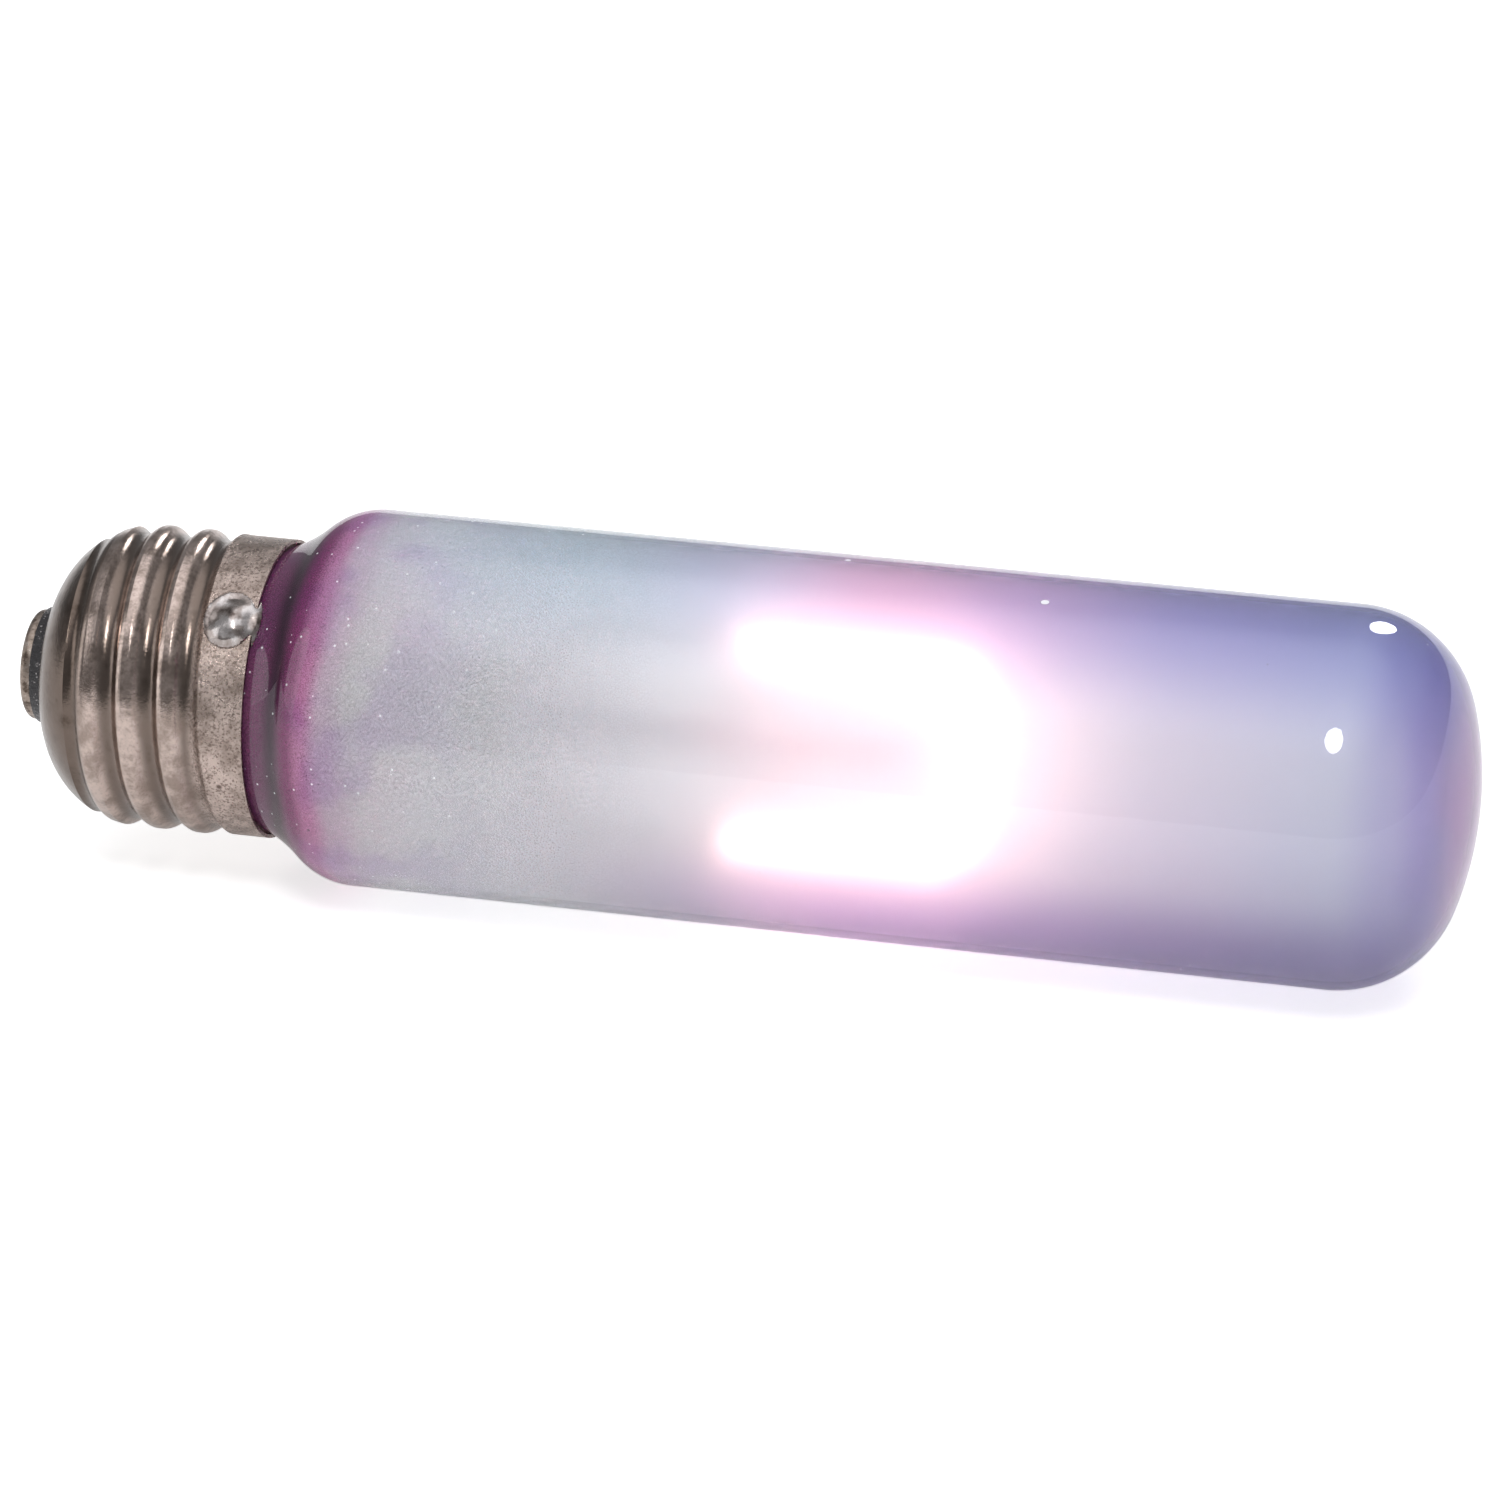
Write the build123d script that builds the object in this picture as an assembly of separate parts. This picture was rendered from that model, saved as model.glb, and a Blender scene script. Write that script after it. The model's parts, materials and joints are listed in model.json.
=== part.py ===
from build123d import *
from math import acos, asin, atan2, ceil, cos, degrees, pi, radians, sin, sqrt, tan
import os

# Tubular incandescent lamp with a medium screw base, lying along +X.
# Origin: the middle of the flat on the centre contact. +X runs to the dome, +Z is up.
# All lengths are in millimetres and all angles in degrees.

# Glass envelope
overall_length = 127.0
tube_radius = 16.3
glass_wall = 0.7
dome_corner_radius = 10.4
dome_cap_radius = 30.0
neck_end_x = 18.13
shoulder_radius = 6.3
neck_arc_radius = 12.8
neck_radius = 11.4
seal_x = 12.6

# Screw shell, one rolled and pressed sheet
sheet = 0.3
thread_pitch = 3.629
crest_radius = 13.15
root_radius = 12.3
collar_radius = 12.95
rim_x = 23.05
thread_end_x = 17.3
collar_start_x = 18.8
nose_arc_radius = 8.5
nose_arc_x = 11.2
nose_opening_radius = 5.4
groove_start_x = 5.98
groove_start_angle = 144.0
fade_turns = 0.64
fade_angle = 21.6
groove_turns = 3.02
groove_overlap = 0.02
crest_land = 0.03
groove_reach = 0.94
cut_margin = 0.3

# Contact end
eyelet_radius = 4.8
eyelet_face_x = 0.45
eyelet_corner = 0.6
eyelet_skirt = 1.05
eyelet_hole_radius = 0.9
solder_flat_radius = 1.1
solder_base_radius = 2.5
solder_shoulder_x = 0.16
solder_shoulder_radius = 1.95
insulator_back_x = 5.2
insulator_lip = 0.25

# Glass mount inside the envelope
mount_turn = -24.8
stem_radius = 4.6
stem_wall = 0.9
flare_radius = 5.5
press_start_x = 31.0
press_front_x = 36.0
press_top_x = 41.5
press_width = 10.4
press_thickness = 4.0
press_corner = 1.6
exhaust_radius = 1.7
exhaust_wall = 0.55
exhaust_tip_x = 7.2
exhaust_top_x = 36.5
exhaust_port_x = 34.5
exhaust_port_radius = 0.8
arbor_radius = 1.2
lower_bead_x = 60.0
lower_bead_radius = 1.7
button_x = 77.1
button_radius = 2.0

# Wires, in the plane of the mount
lead_radius = 0.3
seal_wire_radius = 0.25
outer_wire_radius = 0.12
lead_spacing = 3.2
lead_knee = 4.5
support_radius = 0.15
filament_radius = 0.3
filament_start_x = 63.3
filament_end_x = 84.2
filament_upper = 7.4
filament_lower = 8.7
filament_corner = 3.6

# Solder on the collar, at the place where the side lead comes over the rim
side_solder_x = 20.9
side_solder_angle = 129.9
side_solder_length = 4.8
side_solder_height = 0.75

# Clearances and small steps
cement_start_x = 14.0
cement_recess = 0.5
cement_gap = 0.02
slit_end_x = 34.8
slit_thickness = 0.9
slit_width = 7.4
slit_corner = 0.4
seal_wire_x = 34.0
arbor_seat = 2.5
support_gap = 0.02
support_seat = 0.6
upper_support_x = 68.5
lower_support_x = 74.9
lead_overlap = 1.2
outer_bend = 1.2
side_lead_drop = 1.6
side_lead_fall = 0.4
side_lead_end = 0.3
rim_bend = 4.8
centre_lead_end = 0.4


def lay(shape):
    """Turn a shape that was made along +Z so that it lies along +X."""
    return Rot(0, 90, 0) * shape


def turned(*edges):
    """Revolve a closed outline, drawn as (distance along the lamp, radius), round the lamp's axis."""
    outline = make_face(Wire(edges))
    return revolve(outline, Axis.X, 360)


def on(x, r):
    """Place a point of a turned outline: x along the axis and r up from it."""
    return Vector(x, 0, r)


def around(x, r, angle):
    """Place a point by its radius and its angle round the axis, counted from +Y towards +Z."""
    return Vector(x, r * cos(radians(angle)), r * sin(radians(angle)))


def arc_about(x, r, radius, first, last):
    """Arc in the outline plane about (x, r), between two angles counted from +X towards +Z."""
    def spot(angle):
        return on(x + radius * cos(radians(angle)), r + radius * sin(radians(angle)))
    return ThreePointArc(spot(first), spot((first + last) / 2), spot(last))


def path_of(points):
    """Straight edges from point to point."""
    return [Line(a, b) for a, b in zip(points, points[1:])]


def wire_along(points, bends, radius):
    """Round wire that follows straight runs joined by tangent arcs."""
    path = FilletPolyline(*points, radius=bends) if len(points) > 2 else Line(*points)
    section = Plane(origin=path @ 0, z_dir=path % 0) * Circle(radius)
    return sweep(section, path=path.edges())


# Glass envelope


def envelope_skin(inset):
    """Outer skin of the envelope, or one that lies inset below it, from the neck to the middle of the dome.

    The hollow arc of the neck and the round one of the shoulder meet in a tangent and climb to the tube.
    """
    climb = (tube_radius - neck_radius) / (shoulder_radius + neck_arc_radius)
    slope = degrees(acos(1 - climb))
    shoulder_end_x = neck_end_x + (shoulder_radius + neck_arc_radius) * sin(radians(slope))
    corner_r = tube_radius - dome_corner_radius
    cap_x = overall_length - dome_cap_radius
    corner_x = cap_x + sqrt((dome_cap_radius - dome_corner_radius) ** 2 - corner_r**2)
    turn = degrees(atan2(corner_r, corner_x - cap_x))
    neck = arc_about(neck_end_x, neck_radius + neck_arc_radius, neck_arc_radius + inset, 270, 270 + slope)
    shoulder = arc_about(shoulder_end_x, tube_radius - shoulder_radius, shoulder_radius - inset, 90 + slope, 90)
    edge = arc_about(corner_x, corner_r, dome_corner_radius - inset, 90, turn)
    top = arc_about(cap_x, 0, dome_cap_radius - inset, turn, 0)
    start = on(seal_x, neck_radius - inset)
    return [
        Line(start, neck @ 0),
        neck,
        shoulder,
        Line(shoulder @ 1, edge @ 0),
        edge,
        top,
    ]


def bulb_envelope():
    """Blown tube with a domed end, drawn in to a neck that is sealed to the stem."""
    outer = envelope_skin(0)
    inner = envelope_skin(glass_wall)
    dome = Line(outer[-1] @ 1, inner[-1] @ 1)
    rim = Line(inner[0] @ 0, outer[0] @ 0)
    return turned(*outer, dome, *inner, rim)


# Screw shell


def groove_section(thickness, outward):
    """Section across one thread groove, in a plane through the helix: x outwards and y along the axis.

    The root and both crests are equal arcs that meet in a tangent, set off by the sheet's thickness.
    """
    depth = crest_radius - root_radius
    half_pitch = thread_pitch / 2
    lean = 2 * atan2(depth, half_pitch)
    knuckle = half_pitch / 2 / sin(lean)
    root_arc = knuckle + thickness
    crest_arc = knuckle - thickness
    root_centre = knuckle - depth / 2
    crest_centre = depth / 2 - knuckle
    side = half_pitch * groove_reach
    meet_s = root_arc * sin(lean)
    meet_q = root_centre - root_arc * cos(lean)

    def crest(s):
        return Vector(crest_centre + sqrt(crest_arc**2 - (half_pitch - s) ** 2), s)

    def mirrored(point):
        return Vector(point.X, -point.Y)

    meet = Vector(meet_q, meet_s)
    between = crest((meet_s + side) / 2)
    end = crest(side)
    corner = Vector(depth / 2 + outward, side)
    floor = Vector(root_centre - root_arc, 0)
    edges = [
        ThreePointArc(mirrored(meet), floor, meet),
        ThreePointArc(meet, between, end),
        Line(end, corner),
        Line(corner, mirrored(corner)),
        Line(mirrored(corner), mirrored(end)),
        ThreePointArc(mirrored(end), mirrored(between), mirrored(meet)),
    ]
    return make_face(Wire(edges))


def groove_paths():
    """Lines of under a turn each that the groove follows: up the nose on a cone, then round the thread.

    The cone and the thread both run a little past the place where they cross.
    """
    mean_radius = (crest_radius + root_radius) / 2
    slant = radians(fade_angle)
    fade_height = thread_pitch * fade_turns
    fade_radius = mean_radius - fade_height * tan(slant)
    cone_height = fade_height + thread_pitch * groove_overlap
    paths = [Helix(thread_pitch / cos(slant), cone_height, fade_radius, cone_angle=fade_angle)]
    count = ceil(groove_turns)
    stretch = (groove_turns + groove_overlap) / count
    for number in range(count):
        turn = fade_turns - groove_overlap + number * stretch
        helix = Helix(thread_pitch, thread_pitch * stretch, mean_radius)
        paths.append(Pos(0, 0, thread_pitch * turn) * Rot(0, 0, 360 * turn) * helix)
    return [Pos(0, 0, groove_start_x) * Rot(0, 0, groove_start_angle) * path for path in paths]


def thread_groove(thickness, outward):
    """Helical groove that rises out of the nose and has a rounded end at the collar, made along +Z."""
    section = groove_section(thickness, outward)
    stretches = []
    for path in groove_paths():
        start = path @ 0
        outwards = Vector(start.X, start.Y, 0).normalized()
        across = Plane(origin=start, x_dir=outwards, z_dir=path % 0)
        stretches.append(sweep(across * section, path=path, is_frenet=True))
    last = path @ 1
    outwards = Vector(last.X, last.Y, 0).normalized()
    end = Plane(origin=last, x_dir=outwards, z_dir=path % 1)
    half = section & Pos(0, thread_pitch, 0) * Rectangle(4 * thread_pitch, 2 * thread_pitch)
    stretches.append(revolve(end * half, Axis(last, outwards), 180))
    return stretches


def shell_outline(inset, nose_x, end_x):
    """Shell without its thread, as a solid that fills it, made along +Z."""
    crest = crest_radius - crest_land - inset
    collar = collar_radius - inset
    arc = nose_arc_radius - inset
    arc_r = crest - arc
    lip = asin((nose_opening_radius - arc_r) / arc)
    lip_x = nose_arc_x - arc * cos(lip)
    middle = (lip + pi / 2) / 2
    nose = ThreePointArc(
        (nose_opening_radius, 0, lip_x),
        (arc_r + arc * sin(middle), 0, nose_arc_x - arc * cos(middle)),
        (crest, 0, nose_arc_x),
    )
    edges = [nose]
    corners = [
        nose @ 1,
        (crest, 0, thread_end_x),
        (collar, 0, collar_start_x),
        (collar, 0, end_x),
        (0, 0, end_x),
        (0, 0, nose_x if nose_x else lip_x),
    ]
    if nose_x:
        corners.append((nose_opening_radius, 0, nose_x))
    corners.append(nose @ 0)
    edges += [Line(a, b) for a, b in zip(corners, corners[1:])]
    return revolve(make_face(Wire(edges)), Axis.Z, 360)


def screw_shell():
    """Thin shell with a knuckle thread pressed through the sheet, a rounded nose and a plain collar."""
    outside = shell_outline(0, None, rim_x)
    for cut in thread_groove(0, sheet + cut_margin):
        outside -= cut
    inside = shell_outline(sheet, cut_margin, rim_x + cut_margin)
    for bump in thread_groove(sheet, sheet + cut_margin):
        inside -= bump
    return lay(outside - inside)


def glass_body():
    """The envelope's outer form as one filled solid, for what is shaped round it."""
    outer = envelope_skin(0)
    dome = Line(outer[-1] @ 1, on(seal_x, 0))
    return turned(*outer, dome, Line(on(seal_x, 0), outer[0] @ 0))


# Contact end


def nose_lip_x(inset):
    """Distance along the lamp at which the nose opening cuts the shell's outer or inner skin."""
    arc = nose_arc_radius - inset
    arc_r = crest_radius - crest_land - nose_arc_radius
    return nose_arc_x - sqrt(arc**2 - (nose_opening_radius - arc_r) ** 2)


def insulator():
    """Glass button that fills the nose, holds the shell's lip and carries the eyelet."""
    arc = nose_arc_radius - sheet
    arc_r = crest_radius - crest_land - nose_arc_radius
    first = 180 - degrees(asin((nose_opening_radius - arc_r) / arc))
    last = 180 - degrees(acos((nose_arc_x - insulator_back_x) / arc))
    skin = arc_about(nose_arc_x, arc_r, arc, first, last)
    step_x = eyelet_face_x + eyelet_skirt
    seat_radius = eyelet_radius - sheet
    front = [
        on(insulator_back_x, eyelet_hole_radius),
        on(eyelet_face_x + sheet, eyelet_hole_radius),
        on(eyelet_face_x + sheet, seat_radius - eyelet_corner + sheet),
        on(eyelet_face_x + eyelet_corner, seat_radius),
        on(step_x, seat_radius),
        on(step_x, eyelet_radius + insulator_lip),
        on(nose_lip_x(0), nose_opening_radius),
        skin @ 0,
    ]
    back = [skin @ 1, front[0]]
    return turned(*path_of(front), skin, *path_of(back))


def contact_eyelet():
    """Pressed metal cup on the end of the insulator, with a hole for the centre lead."""
    end_x = eyelet_face_x + eyelet_skirt
    inner = eyelet_radius - sheet
    corner_r = eyelet_radius - eyelet_corner
    corner_x = eyelet_face_x + eyelet_corner
    rounded = arc_about(corner_x, corner_r, eyelet_corner, 180, 90)
    around_cup = [rounded @ 1, on(end_x, eyelet_radius), on(end_x, inner), on(corner_x, inner)]
    bevel = [
        on(corner_x, inner),
        on(eyelet_face_x + sheet, corner_r),
        on(eyelet_face_x + sheet, eyelet_hole_radius),
        on(eyelet_face_x, eyelet_hole_radius),
        rounded @ 0,
    ]
    return turned(rounded, *path_of(around_cup), *path_of(bevel))


def centre_solder():
    """Solder that closes the eyelet's hole, worn to a small flat at the tip."""
    crown = ThreePointArc(
        on(0, solder_flat_radius),
        on(solder_shoulder_x, solder_shoulder_radius),
        on(eyelet_face_x, solder_base_radius),
    )
    plug = [
        crown @ 1,
        on(eyelet_face_x, eyelet_hole_radius),
        on(eyelet_face_x + sheet, eyelet_hole_radius),
        on(eyelet_face_x + sheet, 0),
        on(0, 0),
        crown @ 0,
    ]
    return turned(crown, *path_of(plug)) - centre_lead()


def side_solder():
    """Lump of solder on the collar that runs over the rim and takes in the end of the side lead."""
    half = side_solder_length / 2
    ball_radius = (half**2 + side_solder_height**2) / (2 * side_solder_height)
    centre = around(side_solder_x, collar_radius + side_solder_height - ball_radius, side_solder_angle)
    lump = Pos(*centre) * Sphere(ball_radius)
    lump -= lay(shell_outline(0, None, rim_x))
    lump -= glass_body()
    return lump - side_lead()


def basing_cement():
    """Ring of cement that bonds the glass neck into the shell, behind the thread and under the collar."""
    thread_bore = root_radius - sheet - cement_gap
    collar_bore = collar_radius - sheet
    groove_end_x = groove_start_x + thread_pitch * (fade_turns + groove_turns) + thread_pitch / 2
    ring = [
        on(cement_start_x, 0),
        on(cement_start_x, thread_bore),
        on(groove_end_x, thread_bore),
        on(groove_end_x, collar_bore),
        on(rim_x - cement_recess, collar_bore),
        on(rim_x - cement_recess, 0),
        on(cement_start_x, 0),
    ]
    return turned(*path_of(ring)) - glass_body() - side_lead()


# Mount, drawn upright and then turned about the lamp's axis


def in_mount(shape):
    """Turn a piece of the mount from the vertical plane into the mount's own plane."""
    return Rot(mount_turn, 0, 0) * shape


def stem_flare():
    """Glass tube, flared to the neck at one end and pinched flat on the lead wires at the other."""
    flare_x = seal_x + stem_wall + flare_radius
    flare_r = stem_radius + flare_radius
    bore = stem_radius - stem_wall
    neck_bore = neck_radius - glass_wall
    upper = arc_about(flare_x, flare_r, flare_radius, 270, 180)
    lower = arc_about(flare_x, flare_r, flare_radius + stem_wall, 270, 180)
    rim = [upper @ 1, on(seal_x + stem_wall, neck_bore), on(seal_x, neck_bore), lower @ 1]
    tube = [lower @ 0, on(press_start_x, bore), on(press_start_x, stem_radius), upper @ 0]
    stem = turned(upper, *path_of(rim), lower, *path_of(tube))
    press = loft([
        Plane.YZ.offset(press_start_x) * Circle(stem_radius),
        Plane.YZ.offset(press_front_x) * RectangleRounded(press_thickness, press_width, press_corner),
    ])
    slit = loft([
        Plane.YZ.offset(press_start_x) * Circle(bore),
        Plane.YZ.offset(slit_end_x) * RectangleRounded(slit_thickness, slit_width, slit_corner),
    ])
    block = RectangleRounded(press_thickness, press_width, press_corner)
    press += extrude(Plane.YZ.offset(press_front_x) * block, press_top_x - press_front_x)
    stem = in_mount(stem + (press - slit))
    for wire in (dumet_seal(1), dumet_seal(-1), exhaust_form(exhaust_radius), exhaust_port(), arbor_form()):
        stem -= wire
    return stem


def exhaust_form(radius):
    """Rounded rod of the exhaust tube's length, for its outside and for its bore."""
    inset = exhaust_radius - radius
    end = exhaust_tip_x + inset + radius
    tip = arc_about(end, 0, radius, 180, 90)
    rest = [tip @ 1, on(exhaust_top_x - inset, radius), on(exhaust_top_x - inset, 0), tip @ 0]
    return turned(tip, *path_of(rest))


def exhaust_port():
    """Small hole from the exhaust tube's bore out through one face of the press."""
    drill = Plane.XZ * Pos(exhaust_port_x, 0) * Circle(exhaust_port_radius)
    return in_mount(extrude(drill, press_width))


def exhaust_tube():
    """Thin glass tube under the press, through which the lamp was pumped, with a melted tip."""
    return exhaust_form(exhaust_radius) - exhaust_form(exhaust_radius - exhaust_wall) - exhaust_port()


def arbor_form():
    """Glass rod on the press with a bead part way and a button at its end, before the wires go in."""
    rod = Plane.YZ.offset(press_top_x - arbor_seat) * Circle(arbor_radius)
    rod = extrude(rod, button_x - press_top_x + arbor_seat)
    bead = Pos(lower_bead_x, 0, 0) * Sphere(lower_bead_radius)
    button = Pos(button_x, 0, 0) * Sphere(button_radius)
    return rod + bead + button


def arbor_rod():
    """The glass rod with the holes that its support wires fill."""
    rod = arbor_form()
    for place in support_places():
        rod -= support_wire(*place)
    return rod


def filament_path():
    """Hairpin: out along the upper lead's side, across the end and back along the lower one's."""
    corners = [
        on(filament_start_x, filament_upper),
        on(filament_end_x, filament_upper),
        on(filament_end_x, -filament_lower),
        on(filament_start_x, -filament_lower),
    ]
    return FilletPolyline(*corners, radius=filament_corner)


def filament():
    """Coiled tungsten wire, held as a rod of the coil's outer size."""
    path = filament_path()
    section = Plane(origin=path @ 0, z_dir=path % 0) * Circle(filament_radius)
    return in_mount(sweep(section, path=path.edges()))


def support_places():
    """Start of each support on the arbor, and its place along the filament as a share of the length."""
    total = filament_path().length
    upper = (upper_support_x - filament_start_x) / total
    lower = 1 - (lower_support_x - filament_start_x) / total
    side = filament_end_x - filament_corner - filament_start_x
    bend = pi / 2 * filament_corner
    return [
        (on(lower_bead_x, 0), upper),
        (on(button_x, 0), (side + bend / 2) / total),
        (on(button_x, 0), 0.5),
        (on(button_x, 0), 1 - (side + bend / 2) / total),
        (on(lower_bead_x, 0), lower),
    ]


def support_wire(start, share):
    """Fine wire from a bead of the arbor, drawn a little thinner than the ring that it ends in."""
    path = filament_path()
    point = path.position_at(share)
    along = path.tangent_at(share)
    ring_radius = filament_radius + support_radius + support_gap
    across = ((point - start) - along * (point - start).dot(along)).normalized()
    ring = Plane(origin=point, x_dir=across, z_dir=along) * Torus(ring_radius, support_radius)
    last = point - across * ring_radius
    reach = (last - start).normalized()
    first = start + reach * support_seat
    root = Plane(origin=first, z_dir=reach) * Circle(support_radius - support_gap)
    stalk = extrude(root, (last - first).length)
    return in_mount(stalk + ring)


def inner_lead(side, height):
    """Stiff wire from the press to one end of the filament, side 1 above the arbor and -1 below it."""
    beside = side * (height + filament_radius + lead_radius)
    points = [
        on(press_top_x, side * lead_spacing),
        on(press_top_x + lead_knee / 2, side * lead_spacing),
        on(press_top_x + lead_knee * 2, beside),
        on(filament_start_x + lead_overlap, beside),
    ]
    return in_mount(wire_along(points, lead_knee / 2, lead_radius))


def dumet_seal(side):
    """Short copper-clad wire inside the press, whose stretch matches the glass."""
    disc = Plane.YZ.offset(seal_wire_x) * Pos(0, side * lead_spacing) * Circle(seal_wire_radius)
    return in_mount(extrude(disc, press_top_x - seal_wire_x))


def centre_lead():
    """Fine wire from the press, past the exhaust tip, to the solder on the centre contact."""
    bend_x = exhaust_tip_x + exhaust_radius
    points = [
        on(seal_wire_x, -lead_spacing),
        on(bend_x, -lead_spacing),
        on(bend_x - lead_spacing, 0),
        on(eyelet_face_x - centre_lead_end, 0),
    ]
    return in_mount(wire_along(points, outer_bend, outer_wire_radius))


def side_lead():
    """Fine wire from the press, out under the seal and up between neck and shell to the rim."""
    gap_radius = neck_radius + (root_radius - sheet - neck_radius) / 2
    rise = neck_arc_radius - sqrt(neck_arc_radius**2 - (rim_x - neck_end_x) ** 2)
    rim_radius = (neck_radius + rise + collar_radius - sheet) / 2
    under = seal_x - side_lead_drop
    start_angle = 90 + mount_turn
    points = [
        around(seal_wire_x, lead_spacing, start_angle),
        around(under, lead_spacing, start_angle),
        around(under - side_lead_fall, gap_radius, side_solder_angle),
        around(neck_end_x, gap_radius, side_solder_angle),
        around(rim_x, rim_radius, side_solder_angle),
        around(rim_x + side_lead_end, rim_radius + side_lead_end / 2, side_solder_angle),
    ]
    bends = [outer_bend, outer_bend / 2, rim_bend, side_lead_end]
    return wire_along(points, bends, outer_wire_radius)


def pieces():
    """Every piece of the lamp by its name."""
    made = {
        "bulb_envelope": bulb_envelope(),
        "stem_flare": stem_flare(),
        "exhaust_tube": exhaust_tube(),
        "arbor_rod": arbor_rod(),
        "filament": filament(),
        "inner_lead_upper": inner_lead(1, filament_upper),
        "inner_lead_lower": inner_lead(-1, filament_lower),
        "dumet_seal_upper": dumet_seal(1),
        "dumet_seal_lower": dumet_seal(-1),
        "centre_lead": centre_lead(),
        "side_lead": side_lead(),
        "screw_shell": screw_shell(),
        "insulator": insulator(),
        "contact_eyelet": contact_eyelet(),
        "centre_solder": centre_solder(),
        "side_solder": side_solder(),
        "basing_cement": basing_cement(),
    }
    for number, place in enumerate(support_places(), start=1):
        made[f"filament_support_{number}"] = support_wire(*place)
    return made


os.makedirs("parts", exist_ok=True)
for name, piece in pieces().items():
    export_step(piece, f"parts/{name}.step")
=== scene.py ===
import json
import math

import bmesh
import bpy
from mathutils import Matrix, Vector, noise


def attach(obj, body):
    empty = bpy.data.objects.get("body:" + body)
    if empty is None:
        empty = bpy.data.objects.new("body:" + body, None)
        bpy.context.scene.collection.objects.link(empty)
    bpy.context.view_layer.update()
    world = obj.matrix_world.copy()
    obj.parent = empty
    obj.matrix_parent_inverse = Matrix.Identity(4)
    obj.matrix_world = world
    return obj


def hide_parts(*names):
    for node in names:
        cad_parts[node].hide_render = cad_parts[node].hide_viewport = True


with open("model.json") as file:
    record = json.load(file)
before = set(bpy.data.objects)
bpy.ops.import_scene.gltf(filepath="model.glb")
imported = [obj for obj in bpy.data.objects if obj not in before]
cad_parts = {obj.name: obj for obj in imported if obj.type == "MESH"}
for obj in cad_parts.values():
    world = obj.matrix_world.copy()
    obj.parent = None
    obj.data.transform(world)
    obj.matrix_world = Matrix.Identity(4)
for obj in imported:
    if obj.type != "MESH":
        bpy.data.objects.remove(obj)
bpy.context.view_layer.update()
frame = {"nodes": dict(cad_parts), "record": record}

# Places along the lamp, radii and angles, in millimetres and degrees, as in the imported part.
MM = 0.001
OVERALL_LENGTH = 127.0
TUBE_RADIUS = 16.3
GLASS_WALL = 0.7
SKIN_INSET = 0.013
DOME_CORNER_RADIUS = 10.4
DOME_CAP_RADIUS = 30.0
NECK_END_X = 18.13
SHOULDER_RADIUS = 6.3
NECK_ARC_RADIUS = 12.8
NECK_RADIUS = 11.4
SEAL_X = 12.6
ROOT_RADIUS = 12.3
COLLAR_RADIUS = 12.95
COLLAR_START_X = 18.8
MOUNT_TURN = -24.8

FILAMENT_START_X = 63.3
FILAMENT_END_X = 84.2
FILAMENT_UPPER = 7.4
FILAMENT_LOWER = 8.7
FILAMENT_CORNER = 3.6
COIL_RADIUS = 0.25
COIL_WIRE = 0.05
COIL_PITCH = 0.17

# Fineness of the meshes: steps along each stretch of the glass, round it, and round each turn of the coil.
SEAL_STEPS = 4
NECK_STEPS = 16
SHOULDER_STEPS = 16
TUBE_STEPS = 20
CORNER_STEPS = 24
CAP_STEPS = 16
ENVELOPE_SEGMENTS = 224
POINTS_PER_TURN = 10
AXIS_RADIUS = 1e-6

# Lump of solder, in millimetres: its mesh, the size and height of its swells, and the foot that stays flat.
SOLDER_WELD = 0.001
SOLDER_VOXEL = 0.09
SOLDER_GRAIN = 0.34
SOLDER_SWELL = 0.55
SOLDER_FOOT = 0.35
SOLDER_OCTAVES = 2

# Direction across the tube towards its top, along which the glass is painted darker on top and at its foot.
UP_Y = math.sin(math.radians(-MOUNT_TURN))
UP_Z = math.cos(math.radians(-MOUNT_TURN))

# Colour of the tinted glass by place along the lamp, with painted shade in its near-black band at the neck, and
# what multiplies it along its top, foot and blotches.
TINT_ALONG = [
    (22, (0.36, 0.13, 0.27)),
    (24.4, (0.26, 0.07, 0.18)),
    # The near-black stops round 26 mm are painted shade: a dark band round the neck.
    (26.2, (0.055, 0.009, 0.04)),
    (27.8, (0.36, 0.07, 0.23)),
    (29.4, (0.84, 0.38, 0.64)),
    (31.4, (0.97, 0.82, 0.93)),
    (34, (1.0, 1.0, 1.0)),
    (41, (0.98, 1.0, 1.0)),
    (60, (0.98, 1.0, 1.0)),
    (72, (1.0, 0.97, 0.99)),
    (92, (0.97, 0.95, 0.98)),
    (104, (0.92, 0.90, 0.95)),
    (117, (0.87, 0.88, 0.94)),
    (121, (0.74, 0.72, 0.89)),
    (124, (0.62, 0.57, 0.84)),
    (127, (0.70, 0.42, 0.70)),
]
# Painted shade along the top of the tube, by place along the lamp.
PAINTED_TOP_SHADE_ALONG = [
    (30, (0.90, 0.93, 0.98)),
    (50, (0.85, 0.95, 1.0)),
    (64, (0.86, 0.88, 1.0)),
    (76, (0.84, 0.72, 0.87)),
    (88, (0.79, 0.71, 0.91)),
    (104, (0.69, 0.70, 0.95)),
    (127, (0.70, 0.74, 0.96)),
]
# Painted shade along the foot of the tube.
PAINTED_FOOT_SHADE = (0.68, 0.61, 0.82)
BLOTCH_SHADE = (0.82, 0.74, 0.90)

# Glass: refraction, roughness of its polished outside and its frosted inside, and the colour in its depth.
GLASS_IOR = 1.5
POLISH = 0.03
NECK_FROST = 0.12
FROST = 0.45
DUST_ROUGHNESS = 0.5
DEPTH_COLOUR = (0.15, 0.32, 0.62)
DEPTH_DENSITY = 130.0

# Specks on the glass's outside. The pips have a place in mm and a radius.
SPECK_EDGE = 0.6
DUST_COLOUR = (0.92, 0.95, 0.97)
DUST_COVER = 0.8
STAIN_COLOUR = (0.10, 0.05, 0.09)
PALE_PIPS = [((90.26, -2.24, 16.15), 0.45), ((72.28, 2.55, 16.1), 0.3)]

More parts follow.
